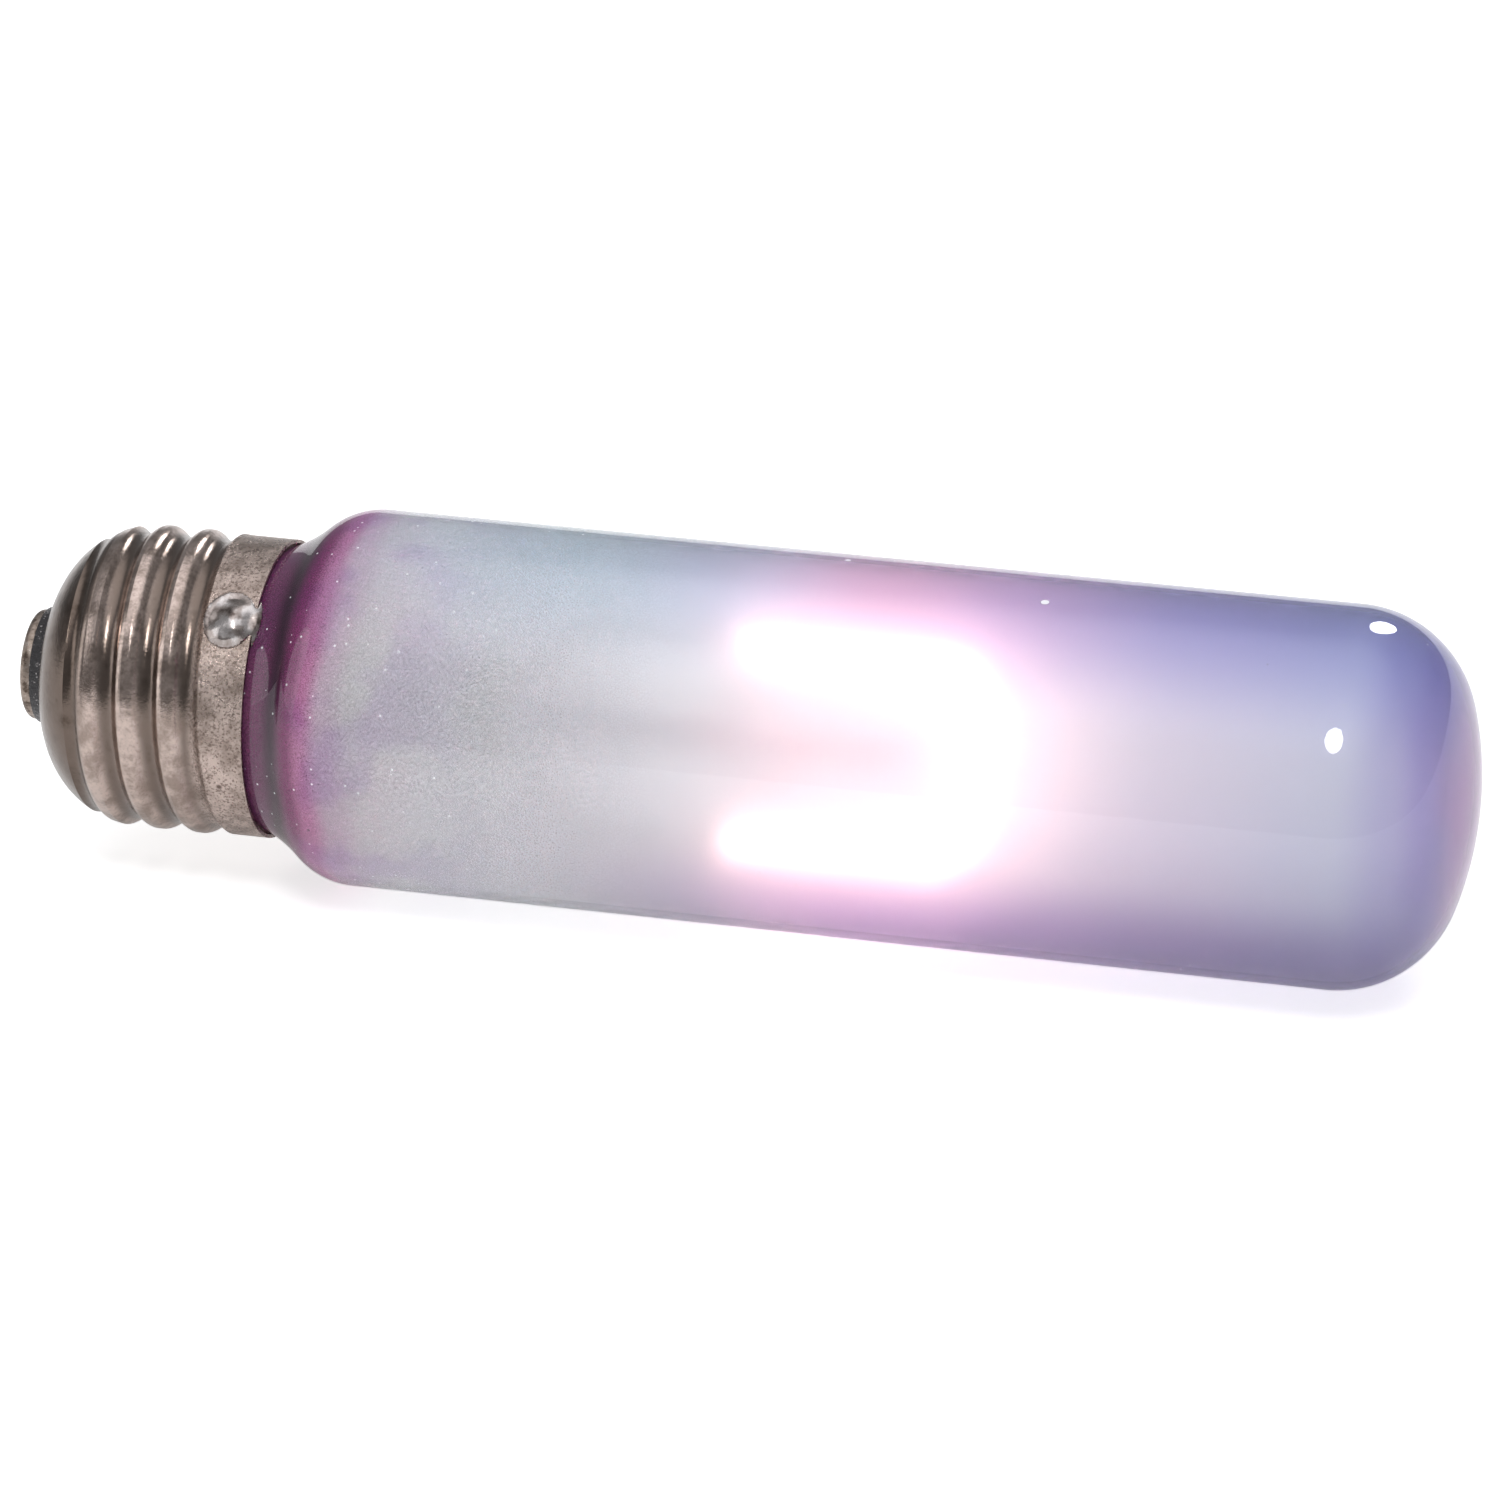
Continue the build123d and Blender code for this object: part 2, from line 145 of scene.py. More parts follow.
# Nickel plate, and the burnt speck on its collar: place in mm and radius.
NICKEL_DULL = (0.34, 0.27, 0.235)
NICKEL_BRIGHT = (0.60, 0.49, 0.44)
# Darker colour for the thread's valleys.
VALLEY_DARK_COLOUR = (0.10, 0.075, 0.06)
PIT_COLOUR = (0.17, 0.125, 0.105)
BURN_PLACE = (20.79, -12.31, -4.01)
BURN_RADIUS = 0.34
BURN_CORE = 0.15

# Filament's glow: strength, and its colour at the leads and along the hairpin.
GLOW_STRENGTH = 190.0
GLOW_AT_LEADS = (1.0, 0.50, 0.46)
GLOW_COLOUR = (1.0, 0.60, 0.56)

# Camera of the photograph, in degrees and metres.
CAMERA_AZIMUTH = 13.7
CAMERA_ELEVATION = 24.8
CAMERA_DISTANCE = 0.6787
CAMERA_TARGET = (0.064384, 0.0, -0.001296)
CAMERA_LENS = 190.96
CAMERA_SENSOR = 36
CAMERA_CLIP = (0.01, 20)

# Stage, in metres: the floor's half size, its grey, its glow for the camera and for the lamp's light.
FLOOR_SIZE = 4.0
FLOOR_GREYS = (0.80, 0.82)
FLOOR_BRIGHTNESS = 0.70
FLOOR_GLOW = 0.26

# Brightness of the sky by height, from the horizon's 0 to 1 overhead, and its blue.
SKY_STOPS = [(0.0, 0.30), (0.2, 0.24), (0.45, 0.26), (0.7, 0.30), (0.85, 1.1), (1.0, 1.4)]
SKY_BLUE = 1.02

# Soft elliptic lamps: name, direction, distance, width, height in metres, and radiance.
LAMP_AIM = (0.09, 0, 0)
LAMPS = [
    ("front_lamp", (0.05, -0.535, 0.843), 1.2, 0.31, 0.33, 16.0),
    ("rear_lamp", (0.1166, 0.883, 0.4546), 1.2, 0.21, 0.36, 14.0),
    ("side_lamp", (-0.94, -0.26, 0.25), 1.5, 0.7, 1.3, 1.1),
]


def direction(azimuth, elevation):
    """Unit vector from the object, azimuth counted from -Y towards +X."""
    a = math.radians(azimuth)
    e = math.radians(elevation)
    return Vector((math.sin(a) * math.cos(e), -math.cos(a) * math.cos(e), math.sin(e)))


# Camera

camera = bpy.data.objects.new("camera", bpy.data.cameras.new("camera"))
bpy.context.scene.collection.objects.link(camera)
back = direction(CAMERA_AZIMUTH, CAMERA_ELEVATION)
camera.location = Vector(CAMERA_TARGET) + back * CAMERA_DISTANCE
camera.rotation_mode = "QUATERNION"
camera.rotation_quaternion = (-back).to_track_quat("-Z", "Y")
camera.data.lens = CAMERA_LENS
camera.data.sensor_width = CAMERA_SENSOR
camera.data.clip_start = CAMERA_CLIP[0]
camera.data.clip_end = CAMERA_CLIP[1]
bpy.context.scene.camera = camera


# Materials


class Shader:
    """One material's node tree, with a Principled shader and short calls for the nodes that feed it."""

    def __init__(self, name, **constants):
        self.material = bpy.data.materials.new(name)
        self.material.use_nodes = True
        self.tree = self.material.node_tree
        self.tree.nodes.clear()
        self.output = self.tree.nodes.new("ShaderNodeOutputMaterial")
        self.surface = self.node("BsdfPrincipled")
        self.tree.links.new(self.surface.outputs[0], self.output.inputs["Surface"])
        self.set(**constants)
        self.place = self.millimetres()

    def node(self, kind, *values, **settings):
        made = self.tree.nodes.new("ShaderNode" + kind)
        for key, value in settings.items():
            setattr(made, key, value)
        for socket, value in zip(made.inputs, values):
            self.feed(socket, value)
        return made

    def feed(self, socket, value):
        if value is None:
            return
        if isinstance(value, bpy.types.NodeSocket):
            self.tree.links.new(value, socket)
        elif socket.type == "RGBA" and len(value) == 3:
            socket.default_value = (*value, 1)
        else:
            socket.default_value = value

    def set(self, **values):
        """Constants or links for the shader's own sockets, written with _ for each space."""
        for key, value in values.items():
            self.feed(self.surface.inputs[key.replace("_", " ")], value)

    def millimetres(self):
        """Place in the row frame, in millimetres."""
        place = self.node("TexCoord").outputs["Object"]
        per_metre = (1 / MM, 1 / MM, 1 / MM)
        return self.node("VectorMath", place, per_metre, operation="MULTIPLY").outputs[0]

    def maths(self, operation, *values, clamp=False):
        return self.node("Math", *values, operation=operation, use_clamp=clamp).outputs[0]

    def vector(self, operation, *values):
        made = self.node("VectorMath", *values, operation=operation)
        return made.outputs["Value" if operation in ("LENGTH", "DOT_PRODUCT", "DISTANCE") else "Vector"]

    def parts(self, vector):
        return self.node("SeparateXYZ", vector).outputs

    def joined(self, x, y, z):
        return self.node("CombineXYZ", x, y, z).outputs[0]

    def noise(self, scale, detail=2.0, roughness=0.5):
        """Noise whose features are about 1 / scale millimetres across."""
        made = self.node("TexNoise")
        self.feed(made.inputs["Vector"], self.place)
        made.inputs["Scale"].default_value = scale
        made.inputs["Detail"].default_value = detail
        made.inputs["Roughness"].default_value = roughness
        return made.outputs["Fac"]

    def dots(self, scale, size, share):
        """Small round spots at random places, size in cells, of which the given share is kept."""
        made = self.node("TexVoronoi", feature="F1")
        self.feed(made.inputs["Vector"], self.place)
        made.inputs["Scale"].default_value = scale
        spot = self.span(made.outputs["Distance"], size * SPECK_EDGE, size, 1, 0)
        draw = self.parts(made.outputs["Color"])[0]
        return self.maths("MULTIPLY", spot, self.maths("LESS_THAN", draw, share))

    def span(self, value, low, high, start=0.0, end=1.0, smooth=False):
        """Value mapped from low to high on to start to end, and held there outside it."""
        kind = "SMOOTHSTEP" if smooth else "LINEAR"
        return self.node("MapRange", value, low, high, start, end, interpolation_type=kind).outputs[0]

    def ramp(self, value, *stops):
        """Colour by value, from stops of (value, colour) in rising order."""
        low = stops[0][0]
        width = stops[-1][0] - low
        made = self.node("ValToRGB", self.span(value, low, low + width))
        ramp = made.color_ramp
        ramp.interpolation = "EASE"
        while len(ramp.elements) < len(stops):
            ramp.elements.new(0.5)
        for element, (at, colour) in zip(ramp.elements, stops):
            element.position = (at - low) / width
            element.color = (*colour, 1)
        return made.outputs["Color"]

    def mix(self, share, first, second, blend="MIX"):
        made = self.node("Mix", data_type="RGBA", blend_type=blend)
        self.feed(made.inputs["Factor"], share)
        self.feed(made.inputs[6], first)
        self.feed(made.inputs[7], second)
        return made.outputs[2]

    def shaded(self, share, colour, shade):
        """Colour multiplied by a shade, by the given share."""
        return self.mix(share, colour, self.mix(1.0, colour, shade, blend="MULTIPLY"))

    def bump(self, height, strength, depth):
        """Bump of a height from 0 to 1, depth in millimetres."""
        made = self.node("Bump")
        made.inputs["Strength"].default_value = strength
        made.inputs["Distance"].default_value = depth * MM
        self.feed(made.inputs["Height"], height)
        self.set(Normal=made.outputs[0])

    def axis_distance(self):
        y, z = self.parts(self.place)[1:]
        return self.vector("LENGTH", self.joined(0.0, y, z))


def glass_colour_and_painted_shade(s, x, y, z):
    """Colour of the tinted glass, with a wavy edge at the neck and violet blotches beyond it, and painted
    shade: a dark band at the neck and darkening along its top and foot.
    """
    wave = s.maths("SUBTRACT", s.noise(0.09, 1.0), 0.5)
    drift = s.maths("MULTIPLY_ADD", wave, s.span(x, 25, 34, 1.2, 4.0), x)
    tint = s.ramp(drift, *TINT_ALONG)
    patches = s.span(s.noise(0.16, 2.0), 0.42, 0.62, smooth=True)
    blotch = s.maths("MULTIPLY", patches, s.span(x, 30, 46, 1, 0))
    tint = s.shaded(blotch, tint, BLOTCH_SHADE)
    # Painted shade: the glass is made darker along the top of the tube.
    rise = s.maths("MULTIPLY_ADD", y, UP_Y / TUBE_RADIUS, s.maths("MULTIPLY", z, UP_Z / TUBE_RADIUS))
    top = s.span(rise, 0.15, 0.9, smooth=True)
    tint = s.shaded(top, tint, s.ramp(x, *PAINTED_TOP_SHADE_ALONG))
    # Painted shade: the glass is made darker along the foot of the tube, beyond 50 mm.
    foot = s.span(rise, -0.95, -0.5, 1, 0, smooth=True)
    foot = s.maths("MULTIPLY", foot, s.span(x, 50, 75, 0, 1))
    return s.shaded(foot, tint, PAINTED_FOOT_SHADE)


def outer_side(s, x):
    """1 on the skin that faces away from the lamp's axis and its dome's middle, 0 on the inner one."""
    near = s.joined(s.span(x, 30, 110, 30, 110), 0.0, 0.0)
    away = s.vector("SUBTRACT", s.place, near)
    geometry = s.node("NewGeometry")
    facing = s.vector("DOT_PRODUCT", geometry.outputs["Normal"], away)
    flip = s.span(geometry.outputs["Backfacing"], 0, 1, 1, -1)
    return s.maths("GREATER_THAN", s.maths("MULTIPLY", facing, flip), 0.0)


def pale_specks(s, x, outside):
    """Dust, thicker near the neck, and the two pale pips."""
    dust = s.dots(1.0, 0.12, s.span(x, 30, 56, 0.5, 0.03))
    pale = s.maths("MULTIPLY", dust, DUST_COVER)
    for spot, size in PALE_PIPS:
        pip = s.span(s.vector("DISTANCE", s.place, spot), size * SPECK_EDGE, size, 1, 0)
        pale = s.maths("MAXIMUM", pale, pip)
    return s.maths("MULTIPLY", pale, outside)


def clear_share(s, x):
    """Share of the light that the glass lets through: less at the neck, with a fine haze up to the filament."""
    clear = s.span(x, 25, 33, 0.52, 0.63, smooth=True)
    clear = s.maths("ADD", clear, s.span(x, 36, 60, 0.0, 0.31, smooth=True))
    haze = s.maths("SUBTRACT", s.noise(9.0, 1.0), 0.5)
    return s.maths("MULTIPLY_ADD", haze, s.span(x, 50, 62, 0.8, 0.0), clear)


def tinted_glass():
    """Blue-violet glass, polished outside and frosted inside, deeper in colour at the neck and the dome, with
    painted shade at the neck and along its top and foot.
    """
    s = Shader("tinted_glass", Transmission_Weight=1.0, IOR=GLASS_IOR)
    x, y, z = s.parts(s.place)
    outside = outer_side(s, x)
    pale = pale_specks(s, x, outside)
    stain = s.maths("MULTIPLY", s.dots(0.24, 0.05, s.span(x, 24, 40, 0.45, 0.03)), outside)
    dusty = s.mix(pale, glass_colour_and_painted_shade(s, x, y, z), DUST_COLOUR)
    s.set(Base_Color=s.mix(stain, dusty, STAIN_COLOUR))
    specks = s.maths("MAXIMUM", pale, stain)
    s.set(Transmission_Weight=s.maths("SUBTRACT", clear_share(s, x), specks, clamp=True))
    frost = s.span(x, 26, 35, NECK_FROST, FROST, smooth=True)
    grain = s.span(s.noise(3.0, 2.0), 0.3, 0.7, -0.03, 0.03)
    inside_roughness = s.maths("ADD", frost, grain)
    roughness = s.node("Mix", outside, None, inside_roughness, POLISH, data_type="FLOAT").outputs[0]
    s.set(Roughness=s.maths("MULTIPLY_ADD", pale, DUST_ROUGHNESS, roughness))
    absorb = s.node("VolumeAbsorption", DEPTH_COLOUR, DEPTH_DENSITY)
    s.tree.links.new(absorb.outputs[0], s.output.inputs["Volume"])
    return s.material


def clear_glass():
    """Clear glass of the stem, with faint waves."""
    s = Shader("clear_glass", Transmission_Weight=0.72, IOR=GLASS_IOR)
    s.set(Base_Color=s.ramp(s.noise(0.6), (0.3, (0.90, 0.94, 0.96)), (0.7, (0.98, 0.99, 1.0))))
    s.set(Roughness=s.span(s.noise(1.5), 0.3, 0.7, 0.02, 0.09))
    s.bump(s.noise(0.8), 0.25, 0.1)
    return s.material


def nickel():
    """Worn nickel plate, darker in the thread's valleys, with a pitted collar."""
    s = Shader("nickel", Metallic=1.0)
    x = s.parts(s.place)[0]
    # Darker colour in the thread's valleys, by distance from the axis.
    valley = s.span(s.axis_distance(), ROOT_RADIUS - 0.1, ROOT_RADIUS + 0.5, 1, 0, smooth=True)
    thread = s.span(x, COLLAR_START_X - 1, COLLAR_START_X, 1, 0)
    smear = s.span(s.noise(0.5, 4.0, 0.6), 0.35, 0.65)
    valley_dark = s.maths("MULTIPLY", s.maths("MULTIPLY", valley, thread), s.span(smear, 0, 1, 0.7, 1.0))
    plate = s.ramp(smear, (0, NICKEL_DULL), (1, NICKEL_BRIGHT))
    pits = s.span(s.noise(4.0, 3.0, 0.7), 0.40, 0.48, 1, 0, smooth=True)
    collar = s.maths("SUBTRACT", 1.0, thread)
    pitted = s.maths("MULTIPLY", pits, s.span(collar, 0, 1, 0.15, 0.8))
    burn = s.span(s.vector("DISTANCE", s.place, BURN_PLACE), BURN_CORE, BURN_RADIUS, 1, 0)
    plate_with_dark_valleys = s.mix(valley_dark, plate, VALLEY_DARK_COLOUR)
    s.set(Base_Color=s.mix(s.maths("MAXIMUM", pitted, burn), plate_with_dark_valleys, PIT_COLOUR))
    rough = s.span(s.noise(1.2, 4.0, 0.65), 0.3, 0.7, 0.10, 0.24)
    s.set(Roughness=s.maths("ADD", rough, s.maths("MULTIPLY", collar, 0.12)))
    height = s.maths("MULTIPLY", s.noise(3.5, 4.0, 0.7), s.span(collar, 0, 1, 0.2, 1.0))
    s.bump(height, 0.8, 0.12)
    return s.material


def solder():
    """Dull tin with bright knobs and dark folds."""
    s = Shader("solder", Metallic=1.0)
    lump = s.noise(0.7, 3.0, 0.5)
    tones = [(0.35, (0.13, 0.10, 0.09)), (0.48, (0.38, 0.33, 0.31)), (0.62, (0.66, 0.62, 0.61))]
    s.set(Base_Color=s.ramp(lump, *tones))
    s.set(Roughness=s.span(s.noise(1.5, 2.0), 0.3, 0.7, 0.16, 0.32))
    s.bump(s.noise(1.0, 2.0, 0.5), 0.3, 0.12)
    return s.material


def black_glass():
    """Black glass of the insulator, pitted, with pale crumbs in the pits."""
    s = Shader("black_glass")
    crumbs = s.span(s.noise(2.4, 4.0, 0.75), 0.60, 0.66)
    s.set(Base_Color=s.mix(crumbs, (0.012, 0.010, 0.012), (0.62, 0.58, 0.58)))
    s.set(Roughness=s.span(crumbs, 0, 1, 0.18, 0.6))
    s.bump(s.noise(1.8, 5.0, 0.7), 0.9, 0.3)
    return s.material


def tarnished_brass():
    """Brass eyelet, tarnished dark brown, scratched bright."""
    s = Shader("tarnished_brass", Metallic=1.0)
    smear = s.noise(1.3, 4.0, 0.65)
    tones = [(0.35, (0.10, 0.075, 0.06)), (0.55, (0.33, 0.27, 0.23)), (0.7, (0.55, 0.49, 0.45))]
    s.set(Base_Color=s.ramp(smear, *tones))
    s.set(Roughness=s.span(smear, 0.3, 0.7, 0.42, 0.25))
    s.bump(s.noise(3.0, 4.0, 0.7), 0.5, 0.1)
    return s.material


def cement():
    """Pale gritty cement."""
    s = Shader("cement")
    s.set(Base_Color=s.ramp(s.noise(2.0, 4.0, 0.7), (0.3, (0.50, 0.43, 0.35)), (0.7, (0.78, 0.72, 0.62))))
    s.set(Roughness=s.span(s.noise(3.0), 0.3, 0.7, 0.75, 0.95))
    s.bump(s.noise(4.0, 4.0, 0.7), 0.6, 0.1)
    return s.material


def wire(name, dark, bright, rough):
    """Drawn wire, with colour and roughness that vary a little along it."""
    s = Shader(name, Metallic=1.0)
    s.set(Base_Color=s.ramp(s.noise(1.5, 3.0), (0.3, dark), (0.7, bright)))
    s.set(Roughness=s.span(s.noise(4.0), 0.3, 0.7, rough, rough + 0.12))
    return s.material


def glowing_tungsten():
    """White-hot coil, a little cooler near the leads."""
    s = Shader("glowing_tungsten", Emission_Strength=GLOW_STRENGTH)
    x = s.parts(s.place)[0]
    heat = s.span(x, FILAMENT_START_X, FILAMENT_START_X + 4, 0.92, 1, smooth=True)
    glow = s.mix(heat, GLOW_AT_LEADS, GLOW_COLOUR)
    s.set(Base_Color=(0.6, 0.58, 0.56), Emission_Color=glow, Roughness=0.4)
    return s.material


LOOKS = {
    "blue_glass": tinted_glass(),
    "clear_glass": clear_glass(),
    "black_glass": black_glass(),
    "nickel": nickel(),
    "solder": solder(),
    "contact_metal": tarnished_brass(),
    "cement": cement(),
    "lead_wire": wire("lead_wire", (0.42, 0.40, 0.38), (0.66, 0.64, 0.62), 0.25),
    "copper_wire": wire("copper_wire", (0.55, 0.26, 0.16), (0.80, 0.45, 0.32), 0.22),
    "support_wire": wire("support_wire", (0.32, 0.32, 0.34), (0.55, 0.55, 0.57), 0.3),
    "glowing_tungsten": glowing_tungsten(),
}

for part in frame["record"]["subparts"]:
    node = frame["nodes"][part["node"]]
    node.data.materials.clear()
    node.data.materials.append(LOOKS[part["material_slot"]])


# Pieces


def piece(name, mesh, slot):
    """A new piece of the lamp with the looks of one slot."""
    made = bpy.data.objects.new(name, mesh)
    bpy.context.scene.collection.objects.link(made)
    made.data.materials.append(LOOKS[slot])
    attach(made, "root")
    return made


def in_mount(x, height, out=0.0):
    """Place in the plane of the mount: along the lamp, up from its axis and out of the plane."""
    turn = math.radians(MOUNT_TURN)
    y = out * math.cos(turn) - height * math.sin(turn)
    z = out * math.sin(turn) + height * math.cos(turn)
    return Vector((x, y, z)) * MM


def hairpin(distance):
    """Place and direction on the filament's centre line, as (x, height) pairs."""
    side = FILAMENT_END_X - FILAMENT_CORNER - FILAMENT_START_X
    bend = FILAMENT_CORNER * math.pi / 2
    end = FILAMENT_UPPER + FILAMENT_LOWER - 2 * FILAMENT_CORNER
    corner_x = FILAMENT_END_X - FILAMENT_CORNER
    if distance < side:
        return (FILAMENT_START_X + distance, FILAMENT_UPPER), (1, 0)
    distance -= side
    if distance < bend:
        a = distance / FILAMENT_CORNER
        height = FILAMENT_UPPER - FILAMENT_CORNER * (1 - math.cos(a))
        return (corner_x + FILAMENT_CORNER * math.sin(a), height), (math.cos(a), -math.sin(a))
    distance -= bend
    if distance < end:
        return (FILAMENT_END_X, FILAMENT_UPPER - FILAMENT_CORNER - distance), (0, -1)
    distance -= end
    if distance < bend:
        a = distance / FILAMENT_CORNER
        height = FILAMENT_CORNER * (1 - math.sin(a)) - FILAMENT_LOWER
        return (corner_x + FILAMENT_CORNER * math.cos(a), height), (-math.sin(a), -math.cos(a))
    distance -= bend
    return (corner_x - distance, -FILAMENT_LOWER), (-1, 0)


def hairpin_length():
    straight = 2 * (FILAMENT_END_X - FILAMENT_CORNER - FILAMENT_START_X)
    end = FILAMENT_UPPER + FILAMENT_LOWER - 2 * FILAMENT_CORNER
    return straight + end + FILAMENT_CORNER * math.pi


def tube_mesh(name, points, radius):
    """Mesh of a round wire along points in metres, radius in millimetres."""
    curve = bpy.data.curves.new(name, "CURVE")
    curve.dimensions = "3D"
    curve.bevel_depth = radius * MM
    curve.bevel_resolution = 0
    curve.use_fill_caps = True
    spline = curve.splines.new("POLY")
    spline.points.add(len(points) - 1)
    for spot, point in zip(spline.points, points):
        spot.co = (*point, 1)
    holder = bpy.data.objects.new(name, curve)
    bpy.context.scene.collection.objects.link(holder)
    bpy.context.view_layer.update()
    graph = bpy.context.evaluated_depsgraph_get()
    mesh = bpy.data.meshes.new_from_object(holder.evaluated_get(graph))
    bpy.data.objects.remove(holder)
    for face in mesh.polygons:
        face.use_smooth = True
    return mesh


def arc(x, r, radius, first, last, count):
    """Points of an arc about (x, r), between two angles counted from +X, without the first point."""
    angles = [math.radians(first + (last - first) * number / count) for number in range(1, count + 1)]
    return [(x + radius * math.cos(a), r + radius * math.sin(a)) for a in angles]


def envelope_skin(inset):
    """Points of a skin of the glass, inset below its outer one, from the seal to the dome's middle."""
    climb = (TUBE_RADIUS - NECK_RADIUS) / (SHOULDER_RADIUS + NECK_ARC_RADIUS)
    slope = math.degrees(math.acos(1 - climb))
    shoulder_end_x = NECK_END_X + (SHOULDER_RADIUS + NECK_ARC_RADIUS) * math.sin(math.radians(slope))
    corner_r = TUBE_RADIUS - DOME_CORNER_RADIUS
    cap_x = OVERALL_LENGTH - DOME_CAP_RADIUS
    corner_x = cap_x + math.sqrt((DOME_CAP_RADIUS - DOME_CORNER_RADIUS) ** 2 - corner_r**2)
    turn = math.degrees(math.atan2(corner_r, corner_x - cap_x))
    neck_r = NECK_RADIUS - inset
    rise_r = NECK_RADIUS + NECK_ARC_RADIUS
    shoulder_r = TUBE_RADIUS - SHOULDER_RADIUS
    tube_r = TUBE_RADIUS - inset
    straight = (corner_x - shoulder_end_x) / TUBE_STEPS
    seal = (NECK_END_X - SEAL_X) / SEAL_STEPS
    points = [(SEAL_X + seal * number, neck_r) for number in range(SEAL_STEPS + 1)]
    points += arc(NECK_END_X, rise_r, NECK_ARC_RADIUS + inset, 270, 270 + slope, NECK_STEPS)
    points += arc(shoulder_end_x, shoulder_r, SHOULDER_RADIUS - inset, 90 + slope, 90, SHOULDER_STEPS)
    points += [(shoulder_end_x + straight * number, tube_r) for number in range(1, TUBE_STEPS + 1)]
    points += arc(corner_x, corner_r, DOME_CORNER_RADIUS - inset, 90, turn, CORNER_STEPS)
    points += arc(cap_x, 0, DOME_CAP_RADIUS - inset, turn, 0, CAP_STEPS)
    return points


def turned_mesh(name, outline, segments):
    """Smooth mesh of a closed outline of (along, radius) turned round the axis, with one point at radius 0."""
    points = []
    rings = []
    for x, r in outline:
        if r < AXIS_RADIUS:
            rings.append([len(points)] * segments)
            points.append(Vector((x, 0, 0)) * MM)
            continue
        first = len(points)
        for number in range(segments):
            a = 2 * math.pi * number / segments
            points.append(Vector((x, r * math.cos(a), r * math.sin(a))) * MM)
        rings.append([first + number for number in range(segments)])
    faces = []
    for near, far in zip(rings, rings[1:] + rings[:1]):
        for number in range(segments):
            after = (number + 1) % segments
            face = [near[number], near[after], far[after], far[number]]
            face = list(dict.fromkeys(face))
            if len(face) > 2:
                faces.append(face)
    mesh = bpy.data.meshes.new(name)
    mesh.from_pydata(points, [], faces)
    for face in mesh.polygons:
        face.use_smooth = True
    return mesh


def side_solder():
    """Lump of solder with folds and a flattened foot, over the rim of the collar where the side lead ends."""
    source = frame["nodes"]["side_solder"]
    made = piece("side_solder_lump", bpy.data.meshes.new("side_solder_lump"), "solder")
    work = bmesh.new()
    work.from_mesh(source.data)
    bmesh.ops.transform(work, matrix=source.matrix_world, verts=work.verts)
    bmesh.ops.remove_doubles(work, verts=work.verts, dist=SOLDER_WELD * MM)
    work.to_mesh(made.data)
    work.free()
    remesh = made.modifiers.new("remesh", "REMESH")
    remesh.mode = "VOXEL"
    remesh.voxel_size = SOLDER_VOXEL * MM
    bake_modifiers(made)
    for point in made.data.vertices:
        x, y, z = point.co / MM
        r = math.hypot(y, z)
        lift = max(0.0, r - COLLAR_RADIUS)
        swell = noise.fractal(point.co * SOLDER_GRAIN / MM, 1.0, 2.0, SOLDER_OCTAVES)
        shift = SOLDER_SWELL * min(1.0, lift / SOLDER_FOOT) * swell
        point.co += Vector((0, y / r, z / r)) * shift * MM
    for face in made.data.polygons:
        face.use_smooth = True
    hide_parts("side_solder")


def bake_modifiers(made):
    """Put the shape that an object's modifiers give into its mesh."""
    graph = bpy.context.evaluated_depsgraph_get()
    bpy.context.view_layer.update()
    mesh = bpy.data.meshes.new_from_object(made.evaluated_get(graph))
    made.modifiers.clear()
    old = made.data
    made.data = mesh
    bpy.data.meshes.remove(old)


def glass_envelope():
    """The blown glass: its outer and inner skins with the cut edge at the seal."""
    outer = envelope_skin(SKIN_INSET)
    inner = envelope_skin(GLASS_WALL)
    outer[-1] = (outer[-1][0], 0.0)
    inner[-1] = (inner[-1][0], 0.0)
    mesh = turned_mesh("glass_envelope", outer + inner[::-1], ENVELOPE_SEGMENTS)
    made = piece("glass_envelope", mesh, "blue_glass")
    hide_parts("bulb_envelope")


def filament_coil():
    """Fine wire wound in close turns along the hairpin."""
    total = hairpin_length()
    turns = total / COIL_PITCH
    count = int(turns * POINTS_PER_TURN)
    points = []
    for number in range(count + 1):
        share = number / count
        (x, height), (dx, dh) = hairpin(share * total)
        angle = 2 * math.pi * turns * share
        across = COIL_RADIUS * math.cos(angle)
        out = COIL_RADIUS * math.sin(angle)
        points.append(in_mount(x - dh * across, height + dx * across, out))
    made = piece("filament_coil", tube_mesh("filament_coil", points, COIL_WIRE), "glowing_tungsten")
    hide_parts("filament")


filament_coil()
glass_envelope()
side_solder()


# Stage: a pale floor, a soft sky and lamps


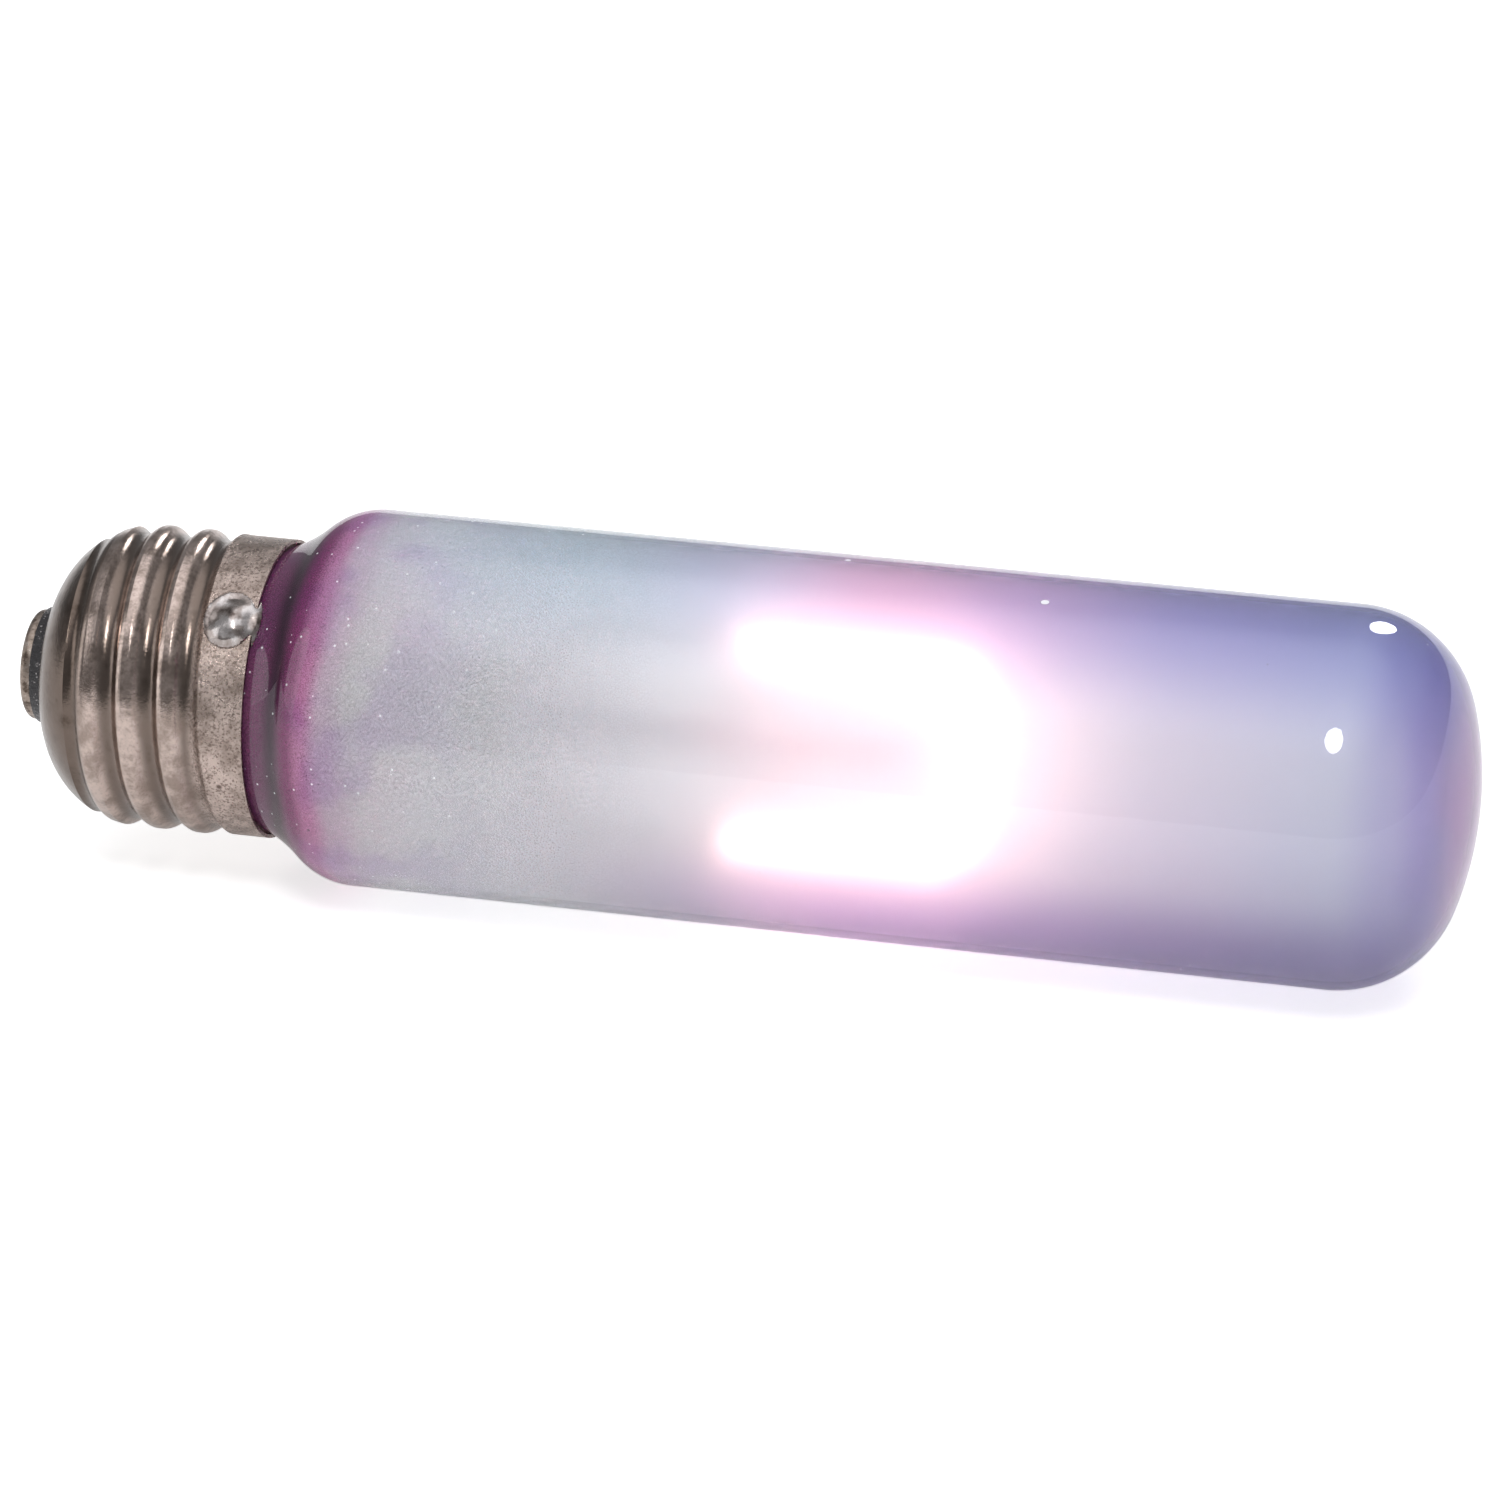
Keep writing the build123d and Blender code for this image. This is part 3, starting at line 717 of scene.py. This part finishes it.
def floor():
    """Plain pale floor that the glass touches."""
    s = Shader("floor", Roughness=0.9, Emission_Color=(1, 1, 1))
    path = s.node("LightPath")
    s.set(Emission_Strength=s.span(path.outputs["Is Camera Ray"], 0, 1, FLOOR_GLOW, FLOOR_BRIGHTNESS))
    dark, pale = FLOOR_GREYS
    s.set(Base_Color=s.ramp(s.noise(0.004), (0.3, (dark, dark, dark)), (0.7, (pale, pale, pale))))
    height = -TUBE_RADIUS * MM
    corners = [(FLOOR_SIZE * a, FLOOR_SIZE * b, height) for a, b in ((-1, -1), (1, -1), (1, 1), (-1, 1))]
    mesh = bpy.data.meshes.new("floor")
    mesh.from_pydata(corners, [], [(0, 1, 2, 3)])
    mesh.materials.append(s.material)
    made = bpy.data.objects.new("floor", mesh)
    bpy.context.scene.collection.objects.link(made)


def sky():
    """Soft grey studio, darker round the sides and bright overhead."""
    world = bpy.data.worlds.new("studio")
    world.use_nodes = True
    bpy.context.scene.world = world
    tree = world.node_tree
    tree.nodes.clear()
    output = tree.nodes.new("ShaderNodeOutputWorld")
    background = tree.nodes.new("ShaderNodeBackground")
    place = tree.nodes.new("ShaderNodeTexCoord")
    split = tree.nodes.new("ShaderNodeSeparateXYZ")
    ramp = tree.nodes.new("ShaderNodeValToRGB")
    while len(ramp.color_ramp.elements) < len(SKY_STOPS):
        ramp.color_ramp.elements.new(0.5)
    for element, (at, level) in zip(ramp.color_ramp.elements, SKY_STOPS):
        element.position = at
        element.color = (level, level, level * SKY_BLUE, 1)
    tree.links.new(place.outputs["Generated"], split.inputs[0])
    tree.links.new(split.outputs["Z"], ramp.inputs[0])
    tree.links.new(ramp.outputs[0], background.inputs[0])
    tree.links.new(background.outputs[0], output.inputs[0])


def lamp(name, towards, distance, width, height, radiance):
    """Soft elliptic lamp that faces the object's middle."""
    data = bpy.data.lights.new(name, "AREA")
    data.shape = "ELLIPSE"
    data.size = width
    data.size_y = height
    area = width * height * math.pi / 4
    data.energy = radiance * math.pi * area
    made = bpy.data.objects.new(name, data)
    bpy.context.scene.collection.objects.link(made)
    towards = Vector(towards).normalized()
    made.location = Vector(LAMP_AIM) + towards * distance
    made.rotation_mode = "QUATERNION"
    made.rotation_quaternion = (-towards).to_track_quat("-Z", "Y")


floor()
sky()
for settings in LAMPS:
    lamp(*settings)

bpy.context.scene.view_settings.view_transform = "Standard"
